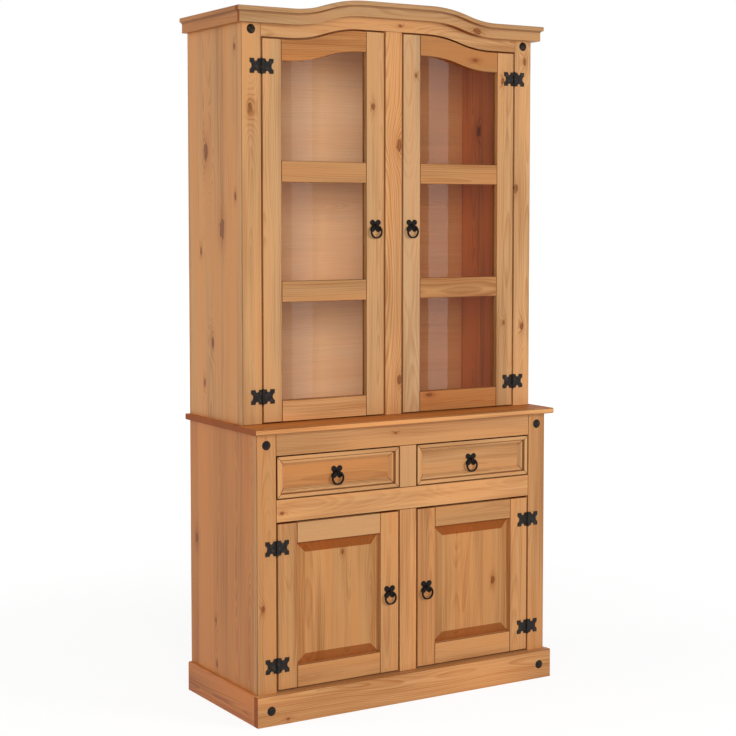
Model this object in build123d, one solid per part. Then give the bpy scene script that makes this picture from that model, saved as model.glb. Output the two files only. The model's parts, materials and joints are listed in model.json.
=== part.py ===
from build123d import *
from math import sqrt
import os

# Tall pine cabinet: a glazed two-door upper unit under an arched crown, standing on a base unit with
# two drawers over two panelled doors.  Millimetres.  X runs along the width, -Y is the front and Z is
# up; the origin is on the floor, under the middle of the worktop.

# --- Carcass ---
carcass_width = 915.0
upper_depth = 317.5
lower_depth = 392.0
lower_height = 752.0  # floor to the underside of the worktop
upper_height = 1028.5  # worktop to the underside of the crown moulding at its ends
side_thickness = 18.0
shelf_thickness = 18.0
back_thickness = 5.0
back_rebate = 9.0  # how far the back panels reach into the sides
worktop_thickness = 15.5
worktop_side_overhang = 13.9
worktop_front_overhang = 24.2
worktop_edge_round = 5.0
plinth_height = 79.0
plinth_front_thickness = 20.5
plinth_side_thickness = 10.0
plinth_edge_round = 3.0
lower_shelf_level = 290.0
lower_shelf_setback = 40.0
upper_shelf_setback = 8.0

# --- Face frames ---
frame_thickness = 20.0
post_width = 56.0
mullion_width = 53.0
arris = 1.0  # eased front edges
top_rail_show = 32.0  # upper top rail seen below the crown moulding
lower_top_rail = 59.0
drawer_opening = 113.0
middle_rail = 59.0

# --- Arch of the crown, the top rail and the glass doors ---
arch_rise = 34.0
arch_crest = 105.0  # half length of the level crest
arch_foot = 320.0  # half distance between the two feet

# --- Crown moulding ---
crown_height = 40.0
crown_ledge = 21.5  # height of the lower band, up to the cove
crown_cove = 7.0
crown_front_proud = 22.5
crown_side_proud = 16.0
crown_end_return = 19.0
crown_edge_round = 2.0
crown_stand = 6.0  # moulding above the top board

# --- Doors ---
door_gap = 4.0
glass_door_floor_gap = 3.0
panel_door_floor_gap = 5.0
glass_stile = 55.0
glass_rail = 55.0
glass_depth = 12.0  # front of the pane behind the front of the door
glass_thickness = 4.0
glass_rebate = 8.0
pane_head = 45.0  # pane above the foot of the arched light
panel_stile = 57.0
panel_top_rail = 54.0
panel_bottom_rail = 58.0
panel_depth = 12.0  # panel's edge behind the front of the door
panel_bevel = 27.0
panel_raise = 5.5
panel_tongue = 5.0
panel_groove = 8.0
catch_reach = 15.5  # catch behind each door, past the middle post
catch_height = 36.0
catch_thickness = 12.0

# --- Drawers ---
drawer_gap = 3.0
drawer_moulding_depth = 14.0
drawer_moulding_width = 25.0
drawer_outer_band = 9.0
drawer_step_depth = 7.0
drawer_step_width = 3.0
drawer_inner_band = 5.0
drawer_box_inset = 3.0
drawer_box_lift = 5.0  # box above the lower edge of the front
drawer_box_height = 88.0
drawer_rear_gap = 27.0  # box to the back panel
drawer_side = 12.0
drawer_bottom = 4.0
drawer_bottom_lift = 6.0
drawer_groove = 5.0
drawer_back_drop = 6.0
runner_height = 18.0
runner_guide = 20.0
runner_side_play = 1.0
runner_play = 0.3
partition_thickness = 18.0

# --- Ironwork ---
hinge_reach = 34.0
hinge_height = 38.0
hinge_plate = 2.0
hinge_scallop = 5.5
hinge_scallop_at = 16.5
hinge_scallop_inset = 1.5
hinge_notch = 10.0
hinge_notch_depth = 6.0
knuckle_radius = 3.2
knuckle_middle = 14.0
knuckle_play = 0.3
hinge_stand = 3.4  # pin axis in front of the door's face
pin_radius = 1.4
pin_play = 0.05
pin_head_radius = 2.6
pin_head = 1.4
glass_hinge_low_inset = 68.0  # middle of the hinge above the foot of the door
glass_hinge_high_inset = 71.5  # middle of the hinge below the foot of the door's arch
panel_hinge_low_inset = 65.0
panel_hinge_high_inset = 62.0
pull_plate = 2.5
pull_lobe_radius = 7.5
pull_lobe_at = 9.0
pull_hub_radius = 8.0
pull_edge = 0.8
eye_stand = 7.5  # ring pivot in front of the face that carries the pull
eye_width = 6.0
eye_radius = 4.7
eye_play = 0.12
ring_radius = 16.0
ring_wire = 2.0
glass_pull_rise = 14.25  # pull above the middle of the door
panel_pull_rise = 1.5
stud_radius = 12.2
stud_height = 3.5
upper_stud_gap = 2.8  # stud below the crown moulding

# --- Levels and planes worked out from the sizes above ---
half = carcass_width / 2
back = (lower_depth + worktop_front_overhang) / 2
upper_face = back - upper_depth
lower_face = back - lower_depth
inner_half = half - side_thickness
post_half = half - post_width
mullion_half = mullion_width / 2
worktop_top = lower_height + worktop_thickness
crown_base = worktop_top + upper_height
upper_top = crown_base + crown_height - crown_stand
door_out = post_half - door_gap
door_in = mullion_half + door_gap
rail_foot = crown_base - top_rail_show
glass_door_low = worktop_top + glass_door_floor_gap
glass_door_foot = rail_foot - door_gap
light_low = glass_door_low + glass_rail
light_foot = glass_door_foot - glass_rail
light_height = (light_foot - light_low - 2 * glass_rail) / 3
mid_rail_levels = [light_low + n * (light_height + glass_rail) - glass_rail for n in (1, 2)]
drawer_high = lower_height - lower_top_rail
drawer_low = drawer_high - drawer_opening
middle_rail_low = drawer_low - middle_rail
panel_door_low = plinth_height + panel_door_floor_gap
panel_door_high = middle_rail_low - door_gap
upper_hinge_levels = (glass_door_low + glass_hinge_low_inset, glass_door_foot - glass_hinge_high_inset)
lower_hinge_levels = (panel_door_low + panel_hinge_low_inset, panel_door_high - panel_hinge_high_inset)
glass_pull_level = (glass_door_low + glass_door_foot) / 2 + glass_pull_rise
panel_pull_level = (panel_door_low + panel_door_high) / 2 + panel_pull_rise
upper_stud_level = crown_base - upper_stud_gap - stud_radius
hinge_x = (post_half + door_out) / 2
upper_back_face = upper_face + frame_thickness
lower_back_face = lower_face + frame_thickness
carcass_back = back - back_thickness
drawer_box_length = carcass_back - lower_back_face - drawer_rear_gap
drawer_mid = (drawer_low + drawer_high) / 2
drawer_pull_face = lower_face + drawer_moulding_depth
plinth_front_face = lower_face - plinth_front_thickness
box_low = drawer_low + drawer_gap + drawer_box_lift
box_in = door_in + drawer_box_inset
box_out = door_out - drawer_box_inset


# --- Shapes used throughout ---
def block(x, y, z):
    """Solid box between three pairs of limits."""
    size = Box(x[1] - x[0], y[1] - y[0], z[1] - z[0])
    return Pos((x[0] + x[1]) / 2, (y[0] + y[1]) / 2, (z[0] + z[1]) / 2) * size


def ease(solid, amount=arris):
    """Chamfer the edges of the front face."""
    return chamfer(solid.edges().group_by(Axis.Y)[0], amount)


def board(x, y, z):
    """Box with its front edges eased."""
    return ease(block(x, y, z))


def slab(face, y):
    """Solid whose outline is drawn in (x, z), between two depths."""
    return extrude(Plane.XZ.offset(-y[1]) * face, amount=y[1] - y[0])


def both(solids):
    """Solids together with their mirror images across the middle of the cabinet."""
    return [*solids, *other_side(solids)]


def other_side(solids):
    return [mirror(solid, Plane.YZ) for solid in solids]


def arch_edges(level):
    """Arch across the whole cabinet in (x, z): level feet, S-curves of two arcs and a level crest."""
    reach = 2 * arch_foot + carcass_width
    middle = (arch_foot + arch_crest) / 2
    waist = level + arch_rise / 2
    crest = level + arch_rise
    edges = [Line((-arch_crest, crest), (arch_crest, crest))]
    for side in (-1, 1):
        foot_point, waist_point, crest_point = (
            (side * arch_foot, level),
            (side * middle, waist),
            (side * arch_crest, crest),
        )
        edges.append(Line((side * reach, level), foot_point))
        edges.append(TangentArc(foot_point, waist_point, tangent=(-side, 0)))
        edges.append(TangentArc(crest_point, waist_point, tangent=(side, 0)))
    return edges


def arched(x, y, low, high, flat_base=False):
    """Board cut to the arch on top, and underneath too unless its base is flat."""
    reach = 2 * arch_foot + carcass_width
    base = [Line((-reach, low), (reach, low))] if flat_base else arch_edges(low)
    sides = [Line((side * reach, low), (side * reach, high)) for side in (-1, 1)]
    outline = make_face([*base, *arch_edges(high), *sides])
    return slab(outline, y) & block(x, y, (low - arch_rise, high + 2 * arch_rise))


# --- Carcass ---
def side_board(depth, low, high, rebate_low):
    """Left side board behind the corner post, rebated for the back panel."""
    front = back - depth + frame_thickness
    panel = block((-half, -inner_half), (front, back), (low, high))
    rebate = block((-inner_half - back_rebate, -inner_half), (carcass_back, back), (rebate_low, high))
    return panel - rebate


def back_panel(low, high):
    reach = inner_half + back_rebate
    return block((-reach, reach), (carcass_back, back), (low, high))


def shelf(front, level):
    """Board between the sides, its underside at the level."""
    return board((-inner_half, inner_half), (front, carcass_back), (level, level + shelf_thickness))


def post(face, low, high):
    """Left corner post."""
    return board((-half, -post_half), (face, face + frame_thickness), (low, high))


def rail(face, low, high):
    """Rail between the corner posts."""
    return board((-post_half, post_half), (face, face + frame_thickness), (low, high))


def middle_post(face, low, high):
    return board((-mullion_half, mullion_half), (face, face + frame_thickness), (low, high))


def worktop():
    top = block(
        (-half - worktop_side_overhang, half + worktop_side_overhang),
        (lower_face - worktop_front_overhang, back),
        (lower_height, worktop_top),
    )
    front = top.edges().group_by(Axis.Y)[0].filter_by(Axis.X)
    return fillet(front, worktop_edge_round)


def drawer_runners():
    """Rebated battens that carry the left drawer: one on the partition, one on the side."""
    high = box_low - runner_play
    low = high - runner_height
    depth = (lower_back_face, carcass_back)
    guide_high = high + runner_guide
    outer = block((-inner_half, -box_out + drawer_side), depth, (low, high))
    outer += block((-inner_half, -box_out - runner_side_play), depth, (low, guide_high))
    inner = block((-box_in - drawer_side, -partition_thickness / 2), depth, (low, high))
    inner += block((-box_in + runner_side_play, -partition_thickness / 2), depth, (low, guide_high))
    return [outer, inner]


def plinth_side():
    side = block((-half - plinth_side_thickness, -half), (lower_face, back), (0, plinth_height))
    edge = side.edges().filter_by(Axis.Y).sort_by(Axis.Z)[-2:].sort_by(Axis.X)[0]
    return chamfer(edge, plinth_edge_round)


def plinth_front():
    reach = half + plinth_side_thickness
    front = block((-reach, reach), (plinth_front_face, lower_face), (0, plinth_height))
    return fillet(front.edges().group_by(Axis.Y)[0].filter_by(Axis.X).sort_by(Axis.Z)[-1], plinth_edge_round)


def door_catch(back_face, level):
    """Catch block behind the middle post that both doors close against."""
    reach = mullion_half + catch_reach
    depth = (back_face, back_face + catch_thickness)
    return block((-reach, reach), depth, (level - catch_height / 2, level + catch_height / 2))


# --- Crown moulding ---
def crown_profile(proud):
    """Outline in (out, up): a lower band, a cove and an upper band with a rounded edge."""
    top_proud = proud + crown_cove
    cove_top = crown_ledge + crown_cove
    bend = crown_cove / sqrt(2)
    nose = crown_height - crown_edge_round
    return make_face(
        [
            Line((0, 0), (proud, 0)),
            Line((proud, 0), (proud, crown_ledge)),
            ThreePointArc((proud, crown_ledge), (top_proud - bend, crown_ledge + bend), (top_proud, cove_top)),
            Line((top_proud, cove_top), (top_proud, nose)),
            TangentArc((top_proud, nose), (top_proud - crown_edge_round, crown_height), tangent=(0, 1)),
            Line((top_proud - crown_edge_round, crown_height), (0, crown_height)),
            Line((0, crown_height), (0, 0)),
        ]
    )


def crown_side_prism(front, rear):
    """Side moulding of the left side between two depths."""
    plane = Plane(origin=(-half, rear, crown_base), x_dir=(-1, 0, 0), z_dir=(0, 1, 0))
    return extrude(plane * crown_profile(crown_side_proud), amount=front - rear)


def crown_front():
    """Moulding swept along the arch, with the side moulding's profile returned on both ends."""
    nose = upper_face - crown_front_proud - crown_cove
    start = half + crown_side_proud + 2 * crown_cove
    path = Plane.XZ.offset(-upper_face) * Wire(arch_edges(crown_base))
    plane = Plane(
        origin=(-2 * arch_foot - carcass_width, upper_face, crown_base), x_dir=(0, -1, 0), z_dir=(-1, 0, 0)
    )
    moulding = sweep(plane * crown_profile(crown_front_proud), path=path)
    tall = (crown_base - arch_rise, crown_base + crown_height + 2 * arch_rise)
    middle = moulding & block((-half, half), (nose, upper_face), tall)
    end = moulding & block((-start, -half), (nose, upper_face), tall)
    end = end & crown_side_prism(nose, nose + crown_end_return)
    return middle + end + mirror(end, Plane.YZ)


# --- Doors, drawn on the left ---
def hinge_pins(face, levels):
    """Pins of one door, with a small head at each end."""
    length = hinge_height
    pins = []
    for level in levels:
        pin = Cylinder(pin_radius, length)
        for side in (-1, 1):
            pin += Pos(0, 0, side * (length + pin_head) / 2) * Cylinder(pin_head_radius, pin_head)
        pins.append(Pos(-hinge_x, face - hinge_stand, level) * pin)
    return pins


def leaf(moving):
    """Butterfly hinge leaf reaching to +X, its pin on the Z axis and its back at +hinge_stand."""
    outline = Rectangle(hinge_reach, hinge_height, align=(Align.MIN, Align.CENTER))
    for side in (-1, 1):
        edge = side * (hinge_height / 2 - hinge_scallop_inset)
        outline -= Pos(hinge_scallop_at, edge) * Circle(hinge_scallop)
    outline -= Pos(hinge_reach - hinge_notch_depth + hinge_notch, 0) * Circle(hinge_notch)
    plate = slab(outline, (hinge_stand - hinge_plate, hinge_stand))
    free = knuckle_radius + 2 * knuckle_play
    middle = knuckle_middle / 2
    tip = hinge_height / 2
    if moving:
        spans, clear = [(-middle, middle)], [(-tip, -middle), (middle, tip)]
    else:
        reach = middle + knuckle_play
        spans, clear = [(-tip, -reach), (reach, tip)], [(-reach, reach)]
    thick = (0, 2 * hinge_stand)
    for span in clear:
        plate -= block((-free, free), thick, span)
    for low, high in spans:
        plate += Pos(0, 0, (low + high) / 2) * Cylinder(knuckle_radius, high - low)
    return plate - Cylinder(pin_radius + pin_play, 2 * hinge_height)


def leaves(face, levels, moving):
    """Leaves of one left door: the fixed one on the post, the moving one on the stile."""
    shape = leaf(moving) if moving else mirror(leaf(moving), Plane.YZ)
    return [Pos(-hinge_x, face - hinge_stand, level) * shape for level in levels]


def glass_door_frame():
    """Two stiles, an arched top rail, two mid rails, a bottom rail and the beads behind the pane."""
    y = (upper_face, upper_back_face)
    rebate_front = upper_face + glass_depth
    left, right = -door_out, -door_in
    light = (left + glass_stile, right - glass_stile)
    pane = (light[0] - glass_rebate, light[1] + glass_rebate)
    pane_z = (light_low - glass_rebate, light_foot + pane_head)
    rebate = block(pane, (rebate_front, upper_back_face), pane_z)
    stiles = [
        arched(x, y, glass_door_low, glass_door_foot, flat_base=True)
        for x in ((left, light[0]), (light[1], right))
    ]
    top = arched(light, y, light_foot, glass_door_foot)
    bottom = block(light, y, (glass_door_low, light_low))
    framed = [ease(part - rebate) for part in (*stiles, top, bottom)]
    mids = [board(light, (upper_face, rebate_front), (z, z + glass_rail)) for z in mid_rail_levels]
    bead_y = (rebate_front + glass_thickness, upper_back_face)
    low, high = pane_z
    beads = [block((x, x + glass_rebate), bead_y, pane_z) for x in (pane[0], light[1])]
    beads += [block(light, bead_y, (z, z + glass_rebate)) for z in (low, high - glass_rebate)]
    return [*framed, *mids, *beads]


def glass_pane():
    y = (upper_face + glass_depth, upper_face + glass_depth + glass_thickness)
    x = (-door_out + glass_stile - glass_rebate, -door_in - glass_stile + glass_rebate)
    return [block(x, y, (light_low - glass_rebate, light_foot + pane_head))]


def panel_door_frame():
    """Two grooved stiles and two grooved rails."""
    y = (lower_face, lower_back_face)
    z = (panel_door_low, panel_door_high)
    left, right = -door_out, -door_in
    inside = (left + panel_stile, right - panel_stile)
    opening = (z[0] + panel_bottom_rail, z[1] - panel_top_rail)
    groove = block(
        (inside[0] - panel_groove, inside[1] + panel_groove),
        (lower_face + panel_depth, lower_face + panel_depth + panel_tongue),
        (opening[0] - panel_groove, opening[1] + panel_groove),
    )
    pieces = [
        board((left, inside[0]), y, z),
        board((inside[1], right), y, z),
        board(inside, y, (opening[1], z[1])),
        board(inside, y, (z[0], opening[0])),
    ]
    return [piece - groove for piece in pieces]


def fielded_panel():
    """Panel with a wide bevel round a raised field, its tongue in the grooves of the frame."""
    x = (-door_out + panel_stile, -door_in - panel_stile)
    z = (panel_door_low + panel_bottom_rail, panel_door_high - panel_top_rail)
    y = lower_face + panel_depth
    tongue = block(
        (x[0] - panel_groove, x[1] + panel_groove),
        (y, y + panel_tongue),
        (z[0] - panel_groove, z[1] + panel_groove),
    )
    centre = Pos((x[0] + x[1]) / 2, (z[0] + z[1]) / 2)
    width, height = x[1] - x[0], z[1] - z[0]
    foot = Plane.XZ.offset(-y) * (centre * Rectangle(width, height))
    field = centre * Rectangle(width - 2 * panel_bevel, height - 2 * panel_bevel)
    return [tongue + loft([foot, Plane.XZ.offset(panel_raise - y) * field], ruled=True)]


# --- Drawers, drawn on the left ---
def drawer_front():
    """Board with a stepped moulding of four mitred pieces round its edge."""
    x = (-door_out, -door_in)
    z = (drawer_low + drawer_gap, drawer_high - drawer_gap)
    width, height = x[1] - x[0], z[1] - z[0]
    face = lower_face + drawer_moulding_depth
    middle = Pos((x[0] + x[1]) / 2, 0, (z[0] + z[1]) / 2)
    step = drawer_outer_band + drawer_step_width
    ledge = drawer_moulding_depth - drawer_step_depth
    profile = Polygon(
        (0, 0),
        (drawer_moulding_width, 0),
        (step + drawer_inner_band, ledge),
        (step, ledge),
        (drawer_outer_band, drawer_moulding_depth),
        (0, drawer_moulding_depth),
        align=None,
    )
    pieces = [block(x, (face, lower_back_face), z)]
    for angle, length, reach in ((0, width, height), (90, height, width)):
        outline = Polygon(
            (-length / 2, -reach / 2),
            (length / 2, -reach / 2),
            (length / 2 - drawer_moulding_width, -reach / 2 + drawer_moulding_width),
            (-length / 2 + drawer_moulding_width, -reach / 2 + drawer_moulding_width),
            align=None,
        )
        mitres = slab(outline, (-drawer_moulding_depth, 0))
        plane = Plane(origin=(-length / 2, 0, -reach / 2), x_dir=(0, 0, 1), z_dir=(1, 0, 0))
        strip = extrude(plane * profile, amount=length)
        for turn in (angle, angle + 180):
            pieces.append(middle * Pos(0, face, 0) * Rot(0, turn, 0) * (strip & mitres))
    return pieces


def drawer_box():
    """Two grooved sides, a back over the bottom and the bottom panel."""
    y = (lower_back_face, lower_back_face + drawer_box_length)
    z = (box_low, box_low + drawer_box_height)
    inside = (-box_out + drawer_side, -box_in - drawer_side)
    floor = (box_low + drawer_bottom_lift, box_low + drawer_bottom_lift + drawer_bottom)
    bottom = block((inside[0] - drawer_groove, inside[1] + drawer_groove), y, floor)
    sides = [block((-box_out, inside[0]), y, z) - bottom, block((inside[1], -box_in), y, z) - bottom]
    rear = block(inside, (y[1] - drawer_side, y[1]), (floor[1], z[1] - drawer_back_drop))
    return [*sides, rear, bottom]


# --- Ring pulls and studs ---
def pull_base(x, face, level):
    """Four-lobed plate with the eye that the ring hangs in."""
    outline = Circle(pull_hub_radius)
    for side in (-1, 1):
        for end in (-1, 1):
            outline += Pos(side * pull_lobe_at, end * pull_lobe_at) * Circle(pull_lobe_radius)
    plate = ease(slab(outline, (-pull_plate, 0)), pull_edge)
    eye = Pos(0, -eye_stand, 0) * Rot(0, 90, 0) * Cylinder(eye_radius, eye_width)
    neck = block((-eye_width / 2, eye_width / 2), (-eye_stand, -pull_edge), (-eye_radius, eye_radius))
    drop = ring_radius - sqrt(ring_radius**2 - (eye_width / 2) ** 2)
    hole = Pos(0, -eye_stand, 0) * Rot(0, 90, 0) * Cylinder(ring_wire + drop + eye_play, 2 * eye_width)
    return [Pos(x, face, level) * (plate + eye + neck - hole)]


def ring(x, face, level):
    """Loose ring hanging from the eye."""
    return [Pos(x, face - eye_stand, level - ring_radius) * Rot(90, 0, 0) * Torus(ring_radius, ring_wire)]


def stud(x, face, level):
    """Domed round stud."""
    dome = (stud_radius**2 + stud_height**2) / (2 * stud_height)
    cap = Pos(0, dome - stud_height, 0) * Sphere(dome)
    return Pos(x, face, level) * (cap & block((-dome, dome), (-dome, 0), (-dome, dome)))


# --- Nodes: each is a list of separate solids ---
post_middle = half - post_width / 2
glass_stile_x = door_in + glass_stile / 2
panel_stile_x = door_in + panel_stile / 2
drawer_x = (door_in + door_out) / 2
lower_stud_level = lower_height - lower_top_rail / 2
plinth_stud_x = half + plinth_side_thickness - plinth_height / 2
upper_front = (upper_face, upper_back_face)
crown_return_face = upper_face - crown_front_proud - crown_cove + crown_end_return

left_half = {
    "upper_side": [side_board(upper_depth, worktop_top, upper_top, worktop_top)],
    "lower_side": [side_board(lower_depth, 0, lower_height, plinth_height)],
    "glass_door_frame": glass_door_frame(),
    "glass_pane": glass_pane(),
    "glass_door_leaves": leaves(upper_face, upper_hinge_levels, True),
    "glass_door_pull": pull_base(-glass_stile_x, upper_face, glass_pull_level),
    "glass_door_ring": ring(-glass_stile_x, upper_face, glass_pull_level),
    "panel_door_frame": panel_door_frame(),
    "panel_door_panel": fielded_panel(),
    "panel_door_leaves": leaves(lower_face, lower_hinge_levels, True),
    "panel_door_pull": pull_base(-panel_stile_x, lower_face, panel_pull_level),
    "panel_door_ring": ring(-panel_stile_x, lower_face, panel_pull_level),
    "drawer_front": drawer_front(),
    "drawer_box": drawer_box(),
    "drawer_pull": pull_base(-drawer_x, drawer_pull_face, drawer_mid),
    "drawer_ring": ring(-drawer_x, drawer_pull_face, drawer_mid),
    "upper_stud": [stud(-post_middle, upper_face, upper_stud_level)],
    "lower_stud": [stud(-post_middle, lower_face, lower_stud_level)],
    "plinth_stud": [stud(-plinth_stud_x, plinth_front_face, plinth_height / 2)],
}
fixed_leaves = leaves(upper_face, upper_hinge_levels, False) + leaves(lower_face, lower_hinge_levels, False)
pins = hinge_pins(upper_face, upper_hinge_levels) + hinge_pins(lower_face, lower_hinge_levels)
partition_half = partition_thickness / 2

nodes = {
    "upper_back_panel": [back_panel(worktop_top, upper_top)],
    "upper_end_boards": [shelf(upper_back_face, level) for level in (worktop_top, upper_top - shelf_thickness)],
    "upper_shelves": [
        shelf(upper_back_face + upper_shelf_setback, z + (glass_rail - shelf_thickness) / 2)
        for z in mid_rail_levels
    ],
    "upper_corner_posts": both([post(upper_face, worktop_top, upper_top)]),
    "upper_middle_post": [middle_post(upper_face, worktop_top, rail_foot + arch_rise)],
    "arched_top_rail": [arched((-post_half, post_half), upper_front, rail_foot, upper_top)],
    "crown_front": [crown_front()],
    "crown_sides": both([crown_side_prism(crown_return_face, back)]),
    "worktop": [worktop()],
    "lower_back_panel": [back_panel(plinth_height, lower_height)],
    "lower_boards": [
        shelf(lower_back_face, plinth_height),
        shelf(lower_back_face + lower_shelf_setback, lower_shelf_level),
    ],
    "lower_corner_posts": both([post(lower_face, 0, lower_height)]),
    "lower_middle_post": [middle_post(lower_face, plinth_height, middle_rail_low)],
    "lower_rails": [
        rail(lower_face, low, high)
        for low, high in ((0, plinth_height), (middle_rail_low, drawer_low), (drawer_high, lower_height))
    ],
    "drawer_divider": [middle_post(lower_face, drawer_low, drawer_high)],
    "drawer_partition": [
        block((-partition_half, partition_half), (lower_back_face, carcass_back), (middle_rail_low, lower_height))
    ],
    "drawer_runners": both(drawer_runners()),
    "plinth": [plinth_front()] + both([plinth_side()]),
    "plinth_back_rail": [block((-inner_half, inner_half), (back - side_thickness, back), (0, plinth_height))],
    "fixed_hinge_leaves": both(fixed_leaves),
    "hinge_pins": both(pins),
    "door_catches": [
        door_catch(upper_back_face, glass_pull_level),
        door_catch(lower_back_face, panel_door_high - catch_height),
    ],
}
for name, solids in left_half.items():
    nodes["left_" + name] = solids
    nodes["right_" + name] = other_side(solids)

os.makedirs("parts", exist_ok=True)
for name, pieces in nodes.items():
    solids = [solid for piece in pieces for solid in piece.solids()]
    export_step(Compound(children=solids), f"parts/{name}.step")
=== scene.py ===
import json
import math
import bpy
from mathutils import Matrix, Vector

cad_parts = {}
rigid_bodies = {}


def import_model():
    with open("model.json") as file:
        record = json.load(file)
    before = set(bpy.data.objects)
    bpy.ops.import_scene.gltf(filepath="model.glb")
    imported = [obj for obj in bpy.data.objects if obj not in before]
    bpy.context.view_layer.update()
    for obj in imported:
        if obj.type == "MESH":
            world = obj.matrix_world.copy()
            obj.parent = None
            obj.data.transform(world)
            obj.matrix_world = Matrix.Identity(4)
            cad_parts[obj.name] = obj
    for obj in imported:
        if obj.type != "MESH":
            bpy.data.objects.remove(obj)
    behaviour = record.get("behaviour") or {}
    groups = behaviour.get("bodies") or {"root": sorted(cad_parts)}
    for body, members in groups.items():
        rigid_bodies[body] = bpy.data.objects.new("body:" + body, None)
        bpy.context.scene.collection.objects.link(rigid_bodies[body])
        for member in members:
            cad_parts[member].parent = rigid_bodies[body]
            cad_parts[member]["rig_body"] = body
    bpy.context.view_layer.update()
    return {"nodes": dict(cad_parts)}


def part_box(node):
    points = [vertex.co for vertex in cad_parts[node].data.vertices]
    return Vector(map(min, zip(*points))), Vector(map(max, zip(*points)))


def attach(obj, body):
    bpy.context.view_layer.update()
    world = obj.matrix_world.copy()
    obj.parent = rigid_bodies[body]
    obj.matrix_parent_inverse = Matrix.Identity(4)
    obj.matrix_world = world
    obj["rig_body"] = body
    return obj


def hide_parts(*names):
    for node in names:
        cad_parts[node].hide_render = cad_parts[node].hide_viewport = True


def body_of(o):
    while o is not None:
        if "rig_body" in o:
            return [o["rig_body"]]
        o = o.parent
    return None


bl_info = {
    "name": "Glazed pine cabinet",
    "version": (1, 0, 0),
    "blender": (4, 5, 0),
    "location": "3D View > Sidebar > Cabinet",
    "description": "Dresses a tall pine cabinet with glazed doors, panelled doors, drawers and ironwork",
    "category": "Object",
}

import bmesh
import bpy
from mathutils import Vector

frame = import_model()

AXES = "xyz"
SKIN = 0.0003  # m under a surface, where the board that it belongs to is looked up
WELD = 2e-6  # m within which the corners of a mesh are one
WOOD_CREASE = 12.0  # degrees; sharper edges of wood stay crisp


# --- Settings that a user would change ---
def colour_setting(name, description, default):
    return bpy.props.FloatVectorProperty(
        name=name, description=description, subtype="COLOR", size=4, default=(*default, 1.0)
    )


def length_setting(name, description, default, least=0.0):
    return bpy.props.FloatProperty(
        name=name, description=description, unit="LENGTH", default=default, min=least
    )


def power_setting(name, description, default):
    return bpy.props.FloatProperty(name=name, description=description, unit="POWER", default=default)


class CabinetFinish(bpy.types.PropertyGroup):
    pale_wood: colour_setting("Pale wood", "Soft spring wood under the wax", (0.665, 0.345, 0.140))
    deep_wood: colour_setting("Deep wood", "Dense summer wood that draws the figure", (0.430, 0.165, 0.048))
    knot_brown: colour_setting("Knot", "Colour of the knots", (0.190, 0.055, 0.010))
    end_grain: colour_setting("End grain", "Colour of cut ends, which drink more wax", (0.250, 0.052, 0.003))
    raw_pale: colour_setting("Raw pale wood", "Spring wood of the boxes and runners", (0.720, 0.500, 0.290))
    raw_deep: colour_setting("Raw deep wood", "Summer wood of the boxes and runners", (0.560, 0.330, 0.160))
    ply_pale: colour_setting("Back panel pale", "Pale veins of the back panels", (0.900, 0.550, 0.285))
    ply_deep: colour_setting("Back panel deep", "Deep veins of the back panels", (0.760, 0.420, 0.195))
    iron_black: colour_setting("Iron", "Colour of the black ironwork", (0.010, 0.008, 0.007))
    glass_tint: colour_setting("Glass tint", "Light that a pane lets through", (0.985, 0.975, 0.970))
    ring_width: length_setting("Ring width", "Spacing of the growth rings", 0.0042, 0.001)
    strip_width: length_setting("Strip width", "Width of the strips that make up a wide board", 0.092, 0.02)


class CabinetIronwork(bpy.types.PropertyGroup):
    screw_radius: length_setting("Screw radius", "Radius of the screw heads on the hinges", 0.0027, 0.0005)
    screw_height: length_setting("Screw height", "Height of the screw heads over the leaves", 0.0011, 0.0001)
    nail_radius: length_setting("Nail radius", "Radius of the nail heads on the pull plates", 0.0012, 0.0005)


class CabinetStudio(bpy.types.PropertyGroup):
    floor_size: length_setting("Floor size", "Side of the pale floor", 60.0)
    sky_light: bpy.props.FloatProperty(
        name="Sky light",
        description="Strength of the soft light from all round",
        default=0.34,
    )
    key_power: power_setting("Key light", "Power of the large lamp in front of the cabinet", 123.0)
    fill_power: power_setting("Fill light", "Power of the weaker lamp in front of the cabinet", 82.0)
    side_power: power_setting("Side light", "Power of the large lamp beside the cabinet", 62.0)
    strip_power: power_setting("Strip light", "Power of the narrow lamps that the panes mirror", 1.1)


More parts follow.
